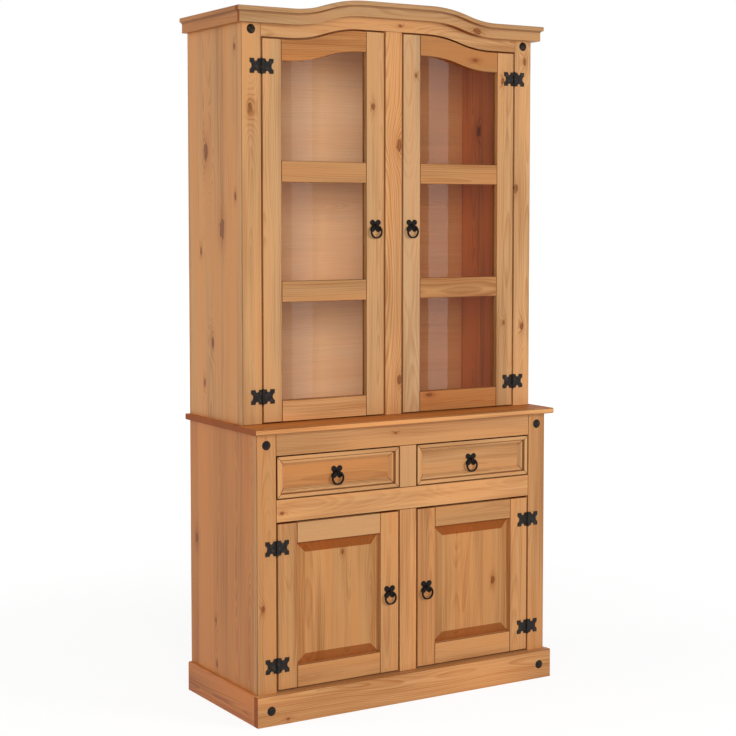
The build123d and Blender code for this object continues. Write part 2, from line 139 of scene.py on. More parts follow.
# --- Node building ---
class Graph:
    """Adds linked nodes to a tree, so that a pattern reads like a sum."""

    def __init__(self, tree):
        self.tree = tree

    def add(self, kind, values=None, **settings):
        node = self.tree.nodes.new(kind)
        for key, value in settings.items():
            setattr(node, key, value)
        for key, value in (values or {}).items():
            if isinstance(value, bpy.types.NodeSocket):
                self.link(value, node.inputs[key])
            else:
                node.inputs[key].default_value = value
        return node

    def link(self, source, target):
        self.tree.links.new(source, target)

    def math(self, operation, *values, clamp=False):
        node = self.add("ShaderNodeMath", dict(enumerate(values)), operation=operation, use_clamp=clamp)
        return node.outputs[0]

    def vector(self, operation, *values):
        node = self.add("ShaderNodeVectorMath", dict(enumerate(values)), operation=operation)
        return node.outputs["Vector"]

    def ease(self, value, low, high, start=0.0, end=1.0):
        """Smooth step from start to end as the value goes from low to high."""
        values = {0: value, 1: low, 2: high, 3: start, 4: end}
        return self.add("ShaderNodeMapRange", values, interpolation_type="SMOOTHSTEP").outputs[0]

    def mix(self, factor, a, b, blend="MIX"):
        values = {0: factor, 6: a, 7: b}
        return self.add("ShaderNodeMix", values, data_type="RGBA", blend_type=blend).outputs[2]

    def split(self, vector):
        return self.add("ShaderNodeSeparateXYZ", {0: vector}).outputs

    def join(self, x, y, z):
        return self.add("ShaderNodeCombineXYZ", {0: x, 1: y, 2: z}).outputs[0]

    def noise(self, vector, scale=1.0, detail=2.0):
        values = {"Vector": vector, "Scale": scale, "Detail": detail}
        return self.add("ShaderNodeTexNoise", values).outputs["Fac"]

    def wander(self, place, scale, detail=1.0):
        """Noise along one direction, from -0.5 to 0.5."""
        values = {"W": place, "Scale": scale, "Detail": detail}
        fac = self.add("ShaderNodeTexNoise", values, noise_dimensions="1D").outputs["Fac"]
        return self.math("SUBTRACT", fac, 0.5)

    def scaled(self, value, factor):
        return self.math("MULTIPLY", value, factor)

    def swing(self, value, factor, middle=0.5):
        """How far the value is from its middle, times a factor."""
        return self.scaled(self.math("SUBTRACT", value, middle), factor)

    def size(self, value):
        return self.math("ABSOLUTE", value)

    def distance(self, a, b):
        squares = self.math("POWER", a, 2.0), self.math("POWER", b, 2.0)
        return self.math("SQRT", self.math("ADD", *squares))

    def sum(self, *values):
        total = values[0]
        for value in values[1:]:
            total = self.math("ADD", total, value)
        return total


def group(name, inputs, outputs, tree_kind="ShaderNodeTree"):
    """Empty node group with its sockets; returns its graph and the sockets of its two end nodes."""
    tree = bpy.data.node_groups.new(name, tree_kind)
    for title, kind, default in inputs:
        socket = tree.interface.new_socket(title, in_out="INPUT", socket_type="NodeSocket" + kind)
        if default is not None:
            socket.default_value = default
    for title, kind in outputs:
        tree.interface.new_socket(title, in_out="OUTPUT", socket_type="NodeSocket" + kind)
    graph = Graph(tree)
    return graph, graph.add("NodeGroupInput").outputs, graph.add("NodeGroupOutput").inputs


# --- Pine ---
def knot_group():
    """A branch met by the board: how far it pushes the rings aside, its face and its dark bark."""
    g, given, made = group(
        "pine_knot",
        [("Board", "Vector", None), ("Place", "Vector", None), ("Radius", "Float", 0.008)],
        [("Swirl", "Float"), ("Face", "Float"), ("Bark", "Float"), ("Halo", "Float")],
    )
    along, across, _ = g.split(g.vector("SUBTRACT", given["Board"], given["Place"]))
    rough = g.noise(g.vector("MULTIPLY", given["Board"], (60.0, 90.0, 20.0)), detail=1.0)
    radius = g.scaled(given["Radius"], g.sum(0.72, g.scaled(rough, 0.5)))

    near = g.math("DIVIDE", g.distance(g.math("DIVIDE", along, 1.8), across), radius)
    wide = g.math("DIVIDE", g.distance(g.math("DIVIDE", along, 2.6), across), given["Radius"])
    fade = g.math("EXPONENT", g.scaled(g.math("POWER", wide, 2.0), -0.16))
    g.link(g.scaled(fade, g.scaled(given["Radius"], 2.3)), made["Swirl"])
    g.link(g.ease(near, 0.6, 1.15, 1.0, 0.0), made["Face"])
    bark = g.scaled(g.ease(near, 0.55, 0.9), g.ease(near, 0.95, 1.12, 1.0, 0.0))
    g.link(g.scaled(bark, g.ease(rough, 0.4, 0.62)), made["Bark"])
    g.link(g.math("EXPONENT", g.scaled(g.math("POWER", wide, 2.0), -0.45)), made["Halo"])
    return g.tree


def figure_group():
    """Growth rings of strips sawn from a log, with fibres, clouding and the knots' pull on them."""
    g, given, made = group(
        "pine_figure",
        [
            ("Board", "Vector", None),
            ("Seed", "Float", 0.0),
            ("Strip Width", "Float", 0.1),
            ("Ring Width", "Float", 0.004),
            ("Contrast", "Float", 0.8),
            ("Liveliness", "Float", 1.0),
            *((title, "Float", 0.0) for title in ("Swirl", "Face", "Bark", "Halo", "End", "Groove")),
            ("Pale", "Color", (0.6, 0.35, 0.17, 1.0)),
            ("Deep", "Color", (0.45, 0.2, 0.08, 1.0)),
            ("Knot Colour", "Color", (0.15, 0.05, 0.02, 1.0)),
            ("End Colour", "Color", (0.3, 0.1, 0.03, 1.0)),
        ],
        [("Color", "Color"), ("Roughness", "Float"), ("Height", "Float")],
    )
    along, across, depth = g.split(given["Board"])
    strip = g.math("ROUND", g.math("DIVIDE", across, given["Strip Width"]))
    key = g.sum(g.scaled(strip, 3.71), given["Seed"])
    chance = g.add("ShaderNodeTexWhiteNoise", {"W": key}, noise_dimensions="1D").outputs["Color"]
    one, two, three = g.split(chance)
    local = g.math("SUBTRACT", across, g.scaled(strip, given["Strip Width"]))
    place = g.sum(along, g.scaled(key, 5.3))

    def speckle(length, width, detail=2.0):
        """Noise drawn out along the board; larger numbers make it finer."""
        stretched = g.join(g.scaled(place, length), g.scaled(across, width), g.scaled(depth, width))
        return g.noise(stretched, detail=detail)

    # The log's heart lies off the strip and wanders along it, which opens the figure into long arches.
    side = g.sum(local, g.swing(two, 0.085), g.scaled(g.wander(place, 0.9, 2.0), 0.075))
    rise = g.scaled(g.wander(g.sum(place, 40.0), 1.3, 2.0), 0.07)
    under = g.sum(depth, 0.014, g.scaled(three, 0.045), rise)
    wobble = g.swing(speckle(5.0, 28.0), 0.0055)
    reach = g.sum(g.distance(side, under), wobble, given["Swirl"])
    count = g.math("DIVIDE", reach, given["Ring Width"])
    count = g.sum(count, g.scaled(g.wander(count, 0.45), 1.5), g.scaled(one, 13.0))
    ring = g.math("FRACT", count)
    late = g.scaled(g.ease(ring, 0.2, 0.82), g.ease(ring, 0.84, 1.0, 1.0, 0.0))

    fibre = speckle(7.0, 420.0)
    vein = speckle(2.2, 85.0)
    cloud = speckle(1.6, 13.0)

    shade = g.scaled(late, g.sum(given["Contrast"], given["Halo"]))
    streak = g.sum(g.swing(vein, 1.35), g.swing(cloud, 2.5))
    shade = g.sum(shade, g.scaled(streak, given["Liveliness"]))
    shade = g.math("ADD", shade, g.swing(one, 0.34, middle=0.45), clamp=True)
    colour = g.mix(shade, given["Pale"], given["Deep"])
    colour = g.mix(g.scaled(given["Halo"], 0.5), colour, given["Deep"])
    knot, black = given["Knot Colour"], (0.0, 0.0, 0.0, 1.0)
    colour = g.mix(g.scaled(given["Face"], g.ease(late, 0.0, 1.0, 0.72, 1.0)), colour, knot)
    colour = g.mix(g.scaled(given["Bark"], 0.62), colour, g.mix(0.55, knot, black))
    colour = g.mix(g.scaled(given["End"], g.ease(late, 0.0, 1.0, 0.92, 1.0)), colour, given["End Colour"])
    # Painted shade of the worked edges and hollows, and the dark lines of the joints, take the colour towards
    # near black.
    colour = g.mix(given["Groove"], colour, g.mix(0.3, knot, black))
    light = g.sum(0.85, g.scaled(fibre, 0.2), g.scaled(two, 0.1))
    colour = g.mix(1.0, colour, g.join(light, light, light), "MULTIPLY")
    blush = speckle(1.6, 15.0, detail=1.0)
    tint = g.mix(g.ease(blush, 0.3, 0.7), (1.04, 0.95, 0.87, 1.0), (0.97, 1.03, 1.09, 1.0))
    colour = g.mix(given["Liveliness"], colour, tint, "MULTIPLY")
    g.link(colour, made["Color"])
    satin = g.sum(0.4, g.scaled(fibre, 0.16), g.scaled(given["End"], 0.12), g.scaled(late, -0.06))
    g.link(satin, made["Roughness"])
    height = g.sum(g.scaled(fibre, 0.7), g.scaled(late, 0.3), g.scaled(given["Bark"], -0.8))
    g.link(height, made["Height"])
    return g.tree


def group_once(name, maker):
    return bpy.data.node_groups.get(name) or maker()


def new_material(name):
    """New material and its graph, with the Principled node in it."""
    material = bpy.data.materials.new(name)
    material.use_nodes = True
    return material, Graph(material.node_tree)


def new_shader_material(name):
    """Material without the Principled node, its graph and the socket that its shader goes into."""
    material, g = new_material(name)
    g.tree.nodes.remove(g.tree.nodes["Principled BSDF"])
    return material, g, g.tree.nodes["Material Output"].inputs["Surface"]


def lay_surface(g, colour, roughness, height, strength, depth):
    """Gives the Principled node its colour, roughness and relief; returns its sockets."""
    bump = g.add("ShaderNodeBump", {"Height": height, "Strength": strength, "Distance": depth})
    sockets = g.tree.nodes["Principled BSDF"].inputs
    g.link(colour, sockets["Base Color"])
    g.link(roughness, sockets["Roughness"])
    g.link(bump.outputs[0], sockets["Normal"])
    return sockets


WAX_COLOURS = ("pale_wood", "deep_wood")
RAW_COLOURS = ("raw_pale", "raw_deep")
PLY_COLOURS = ("ply_pale", "ply_deep")
WHOLE_BOARD = 9.0  # a strip wider than any board


def meet_knots(g, board, middle, axes, knots):
    """What all the knots of a board do to it together, by the names that its figure takes them under."""
    met = {"Swirl": 0.0, "Face": 0.0, "Bark": 0.0, "Halo": 0.0}
    for along, across, radius in knots:
        place = (along - middle[axes[0]], across - middle[axes[1]], 0.0)
        values = {"Board": board, "Place": place, "Radius": radius}
        knot = g.add("ShaderNodeGroup", values, node_tree=group_once("pine_knot", knot_group))
        for title, value in met.items():
            operation = "ADD" if title == "Swirl" else "MAXIMUM"
            met[title] = g.math(operation, knot.outputs[title], value)
    return met


def end_grain_and_painted_shade(g, hollow, normal, end):
    """End grain of the worked edges, and the shade painted on them, told from the way that they face."""
    groove = 0.0
    if hollow == "edge":
        # Chamfers turned half forward: painted crevice shade, partly wax in the grooves, stronger on those
        # that face up.
        front = g.size(normal[1])
        groove = g.scaled(g.ease(front, 0.5, 0.66), g.ease(front, 0.76, 0.9, 0.85, 0.0))
        groove = g.scaled(groove, g.ease(normal[2], -0.5, 0.5, 0.75, 1.15))
    elif hollow == "step":
        # Step faces of the moulding turned away from the front: painted shade.
        groove = g.ease(g.size(normal[1]), 0.25, 0.98, 0.8, 0.0)
    elif hollow == "bevel":
        # Bevels that face left, away from the front lamp on the right: painted shade.
        groove = g.ease(g.scaled(normal[0], -1.0), 0.06, 0.2, 0.0, 0.15)
        end = g.scaled(end, g.ease(normal[2], -0.3, 0.3, 0.88, 1.0))
    elif hollow == "cove":
        # The downturned part of the cove: painted shade.
        down = g.scaled(normal[2], -1.0)
        groove = g.scaled(g.ease(down, 0.1, 0.4), g.ease(down, 0.9, 0.99, 0.5, 0.0))
        end = g.scaled(end, g.ease(normal[2], 0.4, 0.85, 1.0, 0.2))
    return end, groove


def seam(g, gap, groove):
    """The painted shade, with the fine dark line where two boards meet added to it."""
    return g.math("MAXIMUM", g.ease(g.size(gap), 0.0006, 0.002, 0.85, 0.0), groove)


def wood(
    name,
    order,
    middle,
    seed,
    knots=(),
    strip=None,
    colours=WAX_COLOURS,
    contrast=0.45,
    ring=1.0,
    tone=1.0,
    warmth=1.0,
    hollow="edge",
    joints=(),
    mitre=None,
    ageing=None,
    polish=0.24,
    liveliness=1.0,
):
    """Material of one board; order names the axes along, across and through it, warmth deepens the colour.

    Joints are the places along it where it butts against another; mitre is the (low, high) box of its frame.
    A painted shadow, given as (start, end, depth), deepens the colour of the board's front face along its
    length.
    """
    finish = bpy.context.scene.cabinet_finish
    material, g = new_material(name)
    coordinates = g.add("ShaderNodeTexCoord").outputs
    place = g.split(coordinates["Object"])
    axes = [AXES.index(letter) for letter in order]
    board = g.vector("SUBTRACT", g.join(*(place[axis] for axis in axes)), [middle[axis] for axis in axes])
    met = meet_knots(g, board, middle, axes, knots)
    normal = g.split(coordinates["Normal"])
    end = g.ease(g.size(normal[axes[0]]), 0.06, 0.23)
    end, groove = end_grain_and_painted_shade(g, hollow, normal, end)
    for joint in joints:
        groove = seam(g, g.math("SUBTRACT", place[axes[0]], joint), groove)
    if mitre:
        low, high = mitre
        inset = []
        for axis in (0, 2):
            off_middle = g.math("SUBTRACT", place[axis], (low[axis] + high[axis]) / 2)
            inset.append(g.math("SUBTRACT", (high[axis] - low[axis]) / 2, g.size(off_middle)))
        groove = seam(g, g.math("SUBTRACT", *inset), groove)
    pale, deep = ([*(tone * part**warmth for part in getattr(finish, colour)[:3]), 1.0] for colour in colours)
    # Painted shadow: the front face deepens in colour along the board, from start to end.
    if ageing:
        start, stop, shadow_depth = ageing
        forward = g.ease(normal[1], -0.3, 0.3, 1.0, 0.0)
        shadowed = g.scaled(g.ease(place[axes[0]], start, stop), forward)
        pale, deep = (
            g.mix(shadowed, unshaded, [channel ** (1.0 + shadow_depth) for channel in unshaded]) for unshaded in (pale, deep)
        )
    values = {
        "Board": board,
        "Seed": seed,
        "Strip Width": strip or WHOLE_BOARD,
        "Ring Width": finish.ring_width * ring,
        "Contrast": contrast,
        "Liveliness": liveliness,
        **met,
        "End": end,
        "Groove": groove,
        "Pale": pale,
        "Deep": deep,
        "Knot Colour": tuple(finish.knot_brown),
        "End Colour": tuple(finish.end_grain),
    }
    figure = g.add("ShaderNodeGroup", values, node_tree=group_once("pine_figure", figure_group)).outputs
    sockets = lay_surface(g, figure["Color"], figure["Roughness"], figure["Height"], 0.35, 0.0006)
    sockets["Specular IOR Level"].default_value = polish
    return material


IRON_KINDS = {
    "leaf": ((0.055, 0.036, 0.025, 1.0), 0.32),
    "pull": ((0.030, 0.014, 0.008, 1.0), 0.16),
    "stud": ((0.070, 0.036, 0.014, 1.0), 0.26),
}
IRON_CREASE = 35.0  # degrees; sharper edges of iron stay crisp
HEAD_CREASE = 40.0  # degrees, the same for screw and nail heads


def black_iron(kind="leaf"):
    """Cast iron with a hammered black finish, rubbed paler on its high spots; the pulls are oiled darkest."""
    name = f"black_iron_{kind}_finish"
    if name in bpy.data.materials:
        return bpy.data.materials[name]
    material, g = new_material(name)
    place = g.add("ShaderNodeTexCoord").outputs["Object"]
    cells = g.add("ShaderNodeTexVoronoi", {"Vector": place, "Scale": 330.0}, feature="SMOOTH_F1")
    grit = g.noise(place, scale=1400.0)
    rub = g.noise(place, scale=120.0, detail=3.0)
    worn, gloss = IRON_KINDS[kind]
    colour = g.mix(g.ease(rub, 0.5, 0.78), tuple(bpy.context.scene.cabinet_finish.iron_black), worn)
    roughness = g.sum(0.4, g.scaled(grit, 0.2), g.scaled(rub, 0.12))
    height = g.sum(g.scaled(cells.outputs["Distance"], 0.9), g.scaled(grit, 0.12))
    sockets = lay_surface(g, colour, roughness, height, 0.7, 0.0009)
    sockets["Metallic"].default_value = 0.2
    sockets["Specular IOR Level"].default_value = gloss
    return material


def clear_glass():
    """Thin clear pane: light goes straight through and a little is mirrored."""
    material, g, surface = new_shader_material("pane_glass")
    tint = tuple(bpy.context.scene.cabinet_finish.glass_tint)
    through = g.add("ShaderNodeBsdfTransparent", {"Color": tint}).outputs[0]
    mirror = g.add("ShaderNodeBsdfGlossy", {"Color": (1.0, 1.0, 1.0, 1.0), "Roughness": 0.002}).outputs[0]
    outer = g.math("SUBTRACT", 1.0, g.add("ShaderNodeNewGeometry").outputs["Backfacing"])
    share = g.scaled(g.add("ShaderNodeFresnel", {"IOR": 1.28}).outputs[0], outer)
    g.link(g.add("ShaderNodeMixShader", {0: share, 1: through, 2: mirror}).outputs[0], surface)
    return material


def seen_rays(g):
    """1 for rays that the eye follows, straight or through a pane or off a gloss, and 0 for the others."""
    rays = g.add("ShaderNodeLightPath").outputs
    led_on = g.math("MAXIMUM", rays["Is Glossy Ray"], rays["Is Transmission Ray"])
    return g.math("MAXIMUM", rays["Is Camera Ray"], led_on)


# --- Meshes ---
def middle_of(node):
    low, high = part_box(node)
    return (low + high) / 2


def shade(mesh, degrees):
    """Smooth shading, with the edges sharper than the angle left crisp."""
    if "custom_normal" in mesh.attributes:
        mesh.attributes.remove(mesh.attributes["custom_normal"])
    mesh.polygons.foreach_set("use_smooth", [True] * len(mesh.polygons))
    mesh.set_sharp_from_angle(angle=math.radians(degrees))


def new_object(name, data):
    made = bpy.data.objects.new(name, data)
    bpy.context.scene.collection.objects.link(made)
    return made


def settle(mesh, name, body):
    """Object of a finished mesh, riding on its body."""
    piece = new_object(name, mesh)
    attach(piece, body)
    return piece


def body_name(node):
    return body_of(frame["nodes"][node])[0]


def refinished(node, choices, crease=WOOD_CREASE):
    """Merged, smoothly shaded copy that stands in for a node; choices are (material, test of a point)."""
    mesh = bpy.data.meshes.new(node + "_finish")
    copy = bmesh.new()
    copy.from_mesh(frame["nodes"][node].data)
    for face in copy.faces:
        inside = face.calc_center_median() - face.normal * SKIN
        face.material_index = next(index for index, (_, test) in enumerate(choices) if test(inside))
    for index in range(len(choices)):
        points = [p for p in copy.verts if any(face.material_index == index for face in p.link_faces)]
        bmesh.ops.remove_doubles(copy, verts=points, dist=WELD)
    copy.to_mesh(mesh)
    copy.free()
    for material, _ in choices:
        mesh.materials.append(material)
    shade(mesh, crease)
    piece = settle(mesh, node + "_finish", body_name(node))
    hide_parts(node)
    return piece


def always(point):
    return True


def on_left(point):
    return point.x < 0


def coat(node, material):
    """Gives a CAD node its finished material."""
    frame["nodes"][node].material_slots[0].material = material


def board(node, order, seed, **options):
    """A node that is one board, finished where it is."""
    coat(node, wood(node + "_wood", order, middle_of(node), seed, **options))


def pair(node, order, seed, left_knots=(), right_knots=(), left_wax=None, **options):
    """A node of two boards, left and right, each from its own tree; left_wax is the left one's own coat."""
    low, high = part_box(node)
    middle = (low + high) / 2
    sideways = Vector((high.x * 0.9, 0, 0))
    left_options = options | (left_wax or {})
    left = wood(node + "_left_wood", order, middle - sideways, seed, left_knots, **left_options)
    right = wood(node + "_right_wood", order, middle + sideways, seed + 5.7, right_knots, **options)
    refinished(node, [(left, on_left), (right, always)])


def two_boards(node, low_seed, high_seed, high_knots=(), strip=None):
    """A node of two level boards, one above the other, each from its own tree."""
    low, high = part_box(node)
    middle = (low + high) / 2
    lower = wood(node + "_low_wood", "xyz", (0, middle.y, low.z), low_seed, strip=strip)
    upper = wood(node + "_high_wood", "xyz", (0, middle.y, high.z), high_seed, high_knots, strip=strip)
    refinished(node, [(lower, lambda p: p.z < middle.z), (upper, always)])


# --- Operators, one for each group of pieces ---
class CABINET_OT_stage(bpy.types.Operator):
    """Set up the pale floor, the soft light and the camera"""

    bl_idname = "cabinet.stage"
    bl_label = "Stage"

    def execute(self, context):
        studio = context.scene.cabinet_studio
        half = studio.floor_size / 2
        mesh = bpy.data.meshes.new("floor")
        corners = [(-half, -half, 0), (half, -half, 0), (half, half, 0), (-half, half, 0)]
        mesh.from_pydata(corners, [], [(0, 1, 2, 3)])
        floor = new_object("floor", mesh)
        mesh.materials.append(self.floor_material())
        self.light_world(context, studio)
        large = [
            self.hang_lamp("front_lamp", (3.0, -4.3, 2.0), (0, 0, 1.1), (1.9, 1.9), studio.key_power),
            self.hang_lamp("fill_lamp", (-1.9, -4.5, 2.0), (0, 0, 1.1), (2.4, 2.2), studio.fill_power),
            self.hang_lamp("side_lamp", (-4.4, 1.2, 1.9), (-0.45, 0, 0.9), (2.4, 2.4), studio.side_power),
        ]
        for lamp in large:
            lamp.visible_glossy = False
        for name, x, share in (("left_strip", 0.562, 0.75), ("right_strip", 1.161, 1.25)):
            power = studio.strip_power * share
            lamp = self.hang_lamp(name, (x, -1.6, 1.28), (x - 2.0, 2.0, 1.28), (0.075, 1.6), power)
            lamp.visible_diffuse = False
            lamp.visible_transmission = False
        data = bpy.data.cameras.new("camera")
        data.lens = 80.59
        data.sensor_width = 36.0
        data.shift_y = -0.06
        camera = new_object("camera", data)
        camera.location = (-2.3791, -3.8721, 1.3038)
        camera.rotation_euler = (math.radians(90.0) - 0.06489, 0.0, -0.54834)
        context.scene.camera = camera
        context.scene.view_settings.view_transform = "Standard"
        return {"FINISHED"}

    def floor_material(self):
        """White to the eye, with the cabinet's soft shadow left in it."""
        material, g, surface = new_shader_material("floor_paper")
        paper = g.add("ShaderNodeBsdfDiffuse", {"Color": (0.86, 0.86, 0.86, 1.0)}).outputs[0]
        place = g.add("ShaderNodeTexCoord").outputs["Object"]
        away = g.add("ShaderNodeVectorMath", {0: place}, operation="LENGTH").outputs["Value"]
        white = g.add("ShaderNodeEmission", {"Strength": g.ease(away, 0.8, 4.0, 1.11, 1.3)}).outputs[0]
        share = g.scaled(seen_rays(g), 0.78)
        g.link(g.add("ShaderNodeMixShader", {0: share, 1: paper, 2: white}).outputs[0], surface)
        return material

    def light_world(self, context, studio):
        world = bpy.data.worlds.new("studio")
        world.use_nodes = True
        g = Graph(world.node_tree)
        sockets = g.tree.nodes["Background"].inputs
        sockets["Color"].default_value = (1.0, 1.0, 1.0, 1.0)
        g.link(g.sum(studio.sky_light, g.scaled(seen_rays(g), 1.0 - studio.sky_light)), sockets["Strength"])
        context.scene.world = world

    def hang_lamp(self, name, place, target, size, power):
        data = bpy.data.lights.new(name, "AREA")
        data.shape = "RECTANGLE"
        data.size, data.size_y = size
        data.energy = power
        lamp = new_object(name, data)
        lamp.location = place
        lamp.rotation_euler = (Vector(target) - Vector(place)).to_track_quat("-Z", "Y").to_euler()
        lamp.visible_camera = False
        return lamp


class CABINET_OT_upper_case(bpy.types.Operator):
    """Finish the boards, shelves and back of the upper unit"""

    bl_idname = "cabinet.upper_case"
    bl_label = "Upper case"

    def execute(self, context):
        strip = context.scene.cabinet_finish.strip_width
        knots = [
            (1.475, 0.098, 0.014),
            (1.272, 0.005, 0.014),
            (1.357, -0.072, 0.006),
            (1.739, -0.070, 0.005),
            (1.212, 0.132, 0.006),
            (0.973, 0.065, 0.008),
            (0.86, 0.115, 0.006),
        ]
        self.dress_side("left", -1, 2.3, knots, strip)
        self.dress_side("right", 1, 8.1, [(1.556, 0.12, 0.009), (1.10, -0.02, 0.007)], strip)
        two_boards("upper_end_boards", 6.9, 4.6, high_knots=[(0.21, 0.06, 0.009)], strip=strip)
        two_boards("upper_shelves", 3.2, 9.4, strip=strip)
        back_wax = dict(contrast=0.35, liveliness=0.4, ring=1.1, tone=1.02, warmth=0.97)
        # Painted shadow deepens the back panel's front face towards its right end.
        board("upper_back_panel", "xzy", 1.7, colours=PLY_COLOURS, ageing=(0.06, 0.30, 0.55), **back_wax)
        return {"FINISHED"}

    def dress_side(self, side, sign, seed, knots, strip):
        """Outer face in the plain wax, inner face with the deeper coat of the inside."""
        node = side + "_upper_side"
        middle = middle_of(node)
        low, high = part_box(node)
        lining_depth = 0.0008
        lining = min(abs(low.x), abs(high.x)) + lining_depth
        options = dict(knots=knots, strip=strip)
        outer = wood(node + "_wood", "zyx", middle, seed, tone=0.90, warmth=1.12, **options)
        inner = wood(node + "_lining_wood", "zyx", middle, seed, tone=1.5, warmth=1.5, **options)
        refinished(node, [(inner, lambda p: sign * p.x < lining), (outer, always)])


class CABINET_OT_upper_frame(bpy.types.Operator):
    """Finish the posts, the arched rail and the crown moulding"""

    bl_idname = "cabinet.upper_frame"
    bl_label = "Upper frame and crown"

    def execute(self, context):
        pair(
            "upper_corner_posts",
            "zxy",
            1.3,
            left_knots=[(1.580, -0.433, 0.008)],
            right_knots=[(1.382, 0.408, 0.007), (1.739, 0.436, 0.007), (0.994, 0.4315, 0.006)],
            left_wax=dict(tone=0.83, warmth=0.98, contrast=0.3),
            tone=0.88,
            warmth=0.92,
        )
        knots = [(1.496, 0.0175, 0.009), (0.862, 0.019, 0.007)]
        board("upper_middle_post", "zxy", 3.9, knots=knots, contrast=0.6, tone=0.89)
        board("arched_top_rail", "xzy", 5.5, knots=[(0.02, 1.815, 0.004)], tone=0.79, warmth=0.94)
        board("crown_front", "xzy", 7.2, knots=[(0.257, 1.812, 0.008)], tone=0.68, warmth=0.90, hollow="cove")
        pair("crown_sides", "yzx", 4.4, tone=0.75, warmth=1.33, hollow="cove")
        return {"FINISHED"}


class CABINET_OT_lower_case(bpy.types.Operator):
    """Finish the worktop, sides, floor, shelf, back and drawer guides of the base unit"""

    bl_idname = "cabinet.lower_case"
    bl_label = "Lower case"

    def execute(self, context):
        strip = context.scene.cabinet_finish.strip_width
        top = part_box("worktop")[1].z - 2 * SKIN
        middle = middle_of("worktop")
        surface_wax = dict(tone=1.09, warmth=1.6, polish=0.05)
        surface = wood("worktop_surface_wood", "xyz", middle, 2.8, strip=strip, **surface_wax)
        edge = wood("worktop_edge_wood", "xyz", middle, 2.8, strip=strip, tone=1.06, warmth=1.12)
        refinished("worktop", [(surface, lambda p: p.z > top), (edge, always)])
        knots = [(0.226, 0.055, 0.004), (0.107, 0.050, 0.004), (0.43, 0.17, 0.009)]
        side_wax = dict(strip=strip, contrast=0.35, liveliness=0.55, tone=0.94, warmth=1.44)
        board("left_lower_side", "zyx", 5.1, knots=knots, **side_wax)
        board("right_lower_side", "zyx", 6.6, knots=[(0.52, -0.03, 0.009)], **side_wax)
        two_boards("lower_boards", 1.9, 7.7, strip=strip)
        board("lower_back_panel", "xzy", 9.9, colours=PLY_COLOURS, contrast=0.4, liveliness=0.4, ring=1.1)
        board("drawer_partition", "zyx", 2.2, colours=RAW_COLOURS)
        board("drawer_runners", "yxz", 6.1, colours=RAW_COLOURS)
        coat("door_catches", self.catch_material())
        return {"FINISHED"}

    def catch_material(self):
        """Brown moulded plastic with a fine grain."""
        material, g = new_material("catch_plastic")
        grain = g.noise(g.add("ShaderNodeTexCoord").outputs["Object"], scale=900.0)
        colour = g.mix(grain, (0.10, 0.052, 0.030, 1.0), (0.15, 0.08, 0.045, 1.0))
        lay_surface(g, colour, g.sum(0.42, g.scaled(grain, 0.18)), grain, 0.3, 0.0003)
        return material


class CABINET_OT_lower_frame(bpy.types.Operator):
    """Finish the posts, rails, divider and plinth of the base unit"""

    bl_idname = "cabinet.lower_frame"
    bl_label = "Lower frame and plinth"

    def execute(self, context):
        pair("lower_corner_posts", "zxy", 8.8, left_knots=[(0.30, -0.44, 0.005)], tone=0.82, warmth=1.1)
        board("lower_middle_post", "zxy", 3.1, tone=1.05, warmth=1.05)
        board("drawer_divider", "zxy", 6.4, tone=0.735, warmth=0.89)
        self.dress_rails()
        self.dress_plinth()
        board("plinth_back_rail", "xzy", 5.8, colours=RAW_COLOURS)
        return {"FINISHED"}

    def dress_rails(self):
        """Foot rail, middle rail under the drawers and top rail over them, each from its own tree."""
        low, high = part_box("lower_rails")
        post_low, post_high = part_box("lower_middle_post")
        divider_low, divider_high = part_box("drawer_divider")
        y = (low.y + high.y) / 2
        foot_middle = (0, y, (low.z + post_low.z) / 2)
        waist_middle = (0, y, (post_high.z + divider_low.z) / 2)
        top_middle = (0, y, (divider_high.z + high.z) / 2)
        foot = wood("foot_rail_wood", "xzy", foot_middle, 9.2)
        knots = [(-0.385, 0.545, 0.004)]
        middle = wood("middle_rail_wood", "xzy", waist_middle, 4.9, knots, contrast=0.2, warmth=1.04)
        knots = [(-0.04, 0.729, 0.003)]
        top = wood("top_rail_wood", "xzy", top_middle, 1.4, knots, contrast=0.25, tone=0.78, warmth=1.03)
        choices = [(foot, lambda p: p.z < post_low.z), (middle, lambda p: p.z < divider_low.z), (top, always)]
        refinished("lower_rails", choices)

    def dress_plinth(self):
        """Front board of the plinth and the two side boards behind its ends."""
        low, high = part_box("plinth")
        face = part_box("lower_corner_posts")[0].y
        level = (low.z + high.z) / 2
        depth = (face + high.y) / 2
        knots = [(-0.380, 0.012, 0.004)]
        front_middle = (0, (low.y + face) / 2, level)
        front = wood("plinth_front_wood", "xzy", front_middle, 2.7, knots, tone=0.96, warmth=1.05)
        left = wood("plinth_left_wood", "yzx", (-0.9 * high.x, depth, level), 7.5, warmth=1.58)
        right = wood("plinth_right_wood", "yzx", (0.9 * high.x, depth, level), 13.2, warmth=1.58)
        refinished("plinth", [(front, lambda p: p.y < face), (left, on_left), (right, always)])


GLASS_DOOR_WAX = {
    "left": dict(
        outer=dict(tone=0.80, warmth=0.9),
        inner=dict(tone=0.82, warmth=0.93, knots=[(1.596, -0.064, 0.006)]),
        foot=dict(tone=0.96),
        waist=dict(ring=1.3, tone=0.70, warmth=1.04),
        head=dict(tone=0.73, warmth=1.3),
    ),
    "right": dict(
        outer=dict(tone=0.79, warmth=0.93, knots=[(1.683, 0.36, 0.006), (1.007, 0.368, 0.004)]),
        inner=dict(tone=0.69, warmth=0.75, knots=[(1.686, 0.071, 0.004)]),
        foot=dict(tone=0.80, warmth=1.4, knots=[(0.118, 0.815, 0.006)]),
        waist=dict(ring=1.3, tone=0.79, warmth=1.16),
        head=dict(tone=0.69, warmth=1.25, knots=[(0.266, 1.735, 0.006)]),
    ),
}


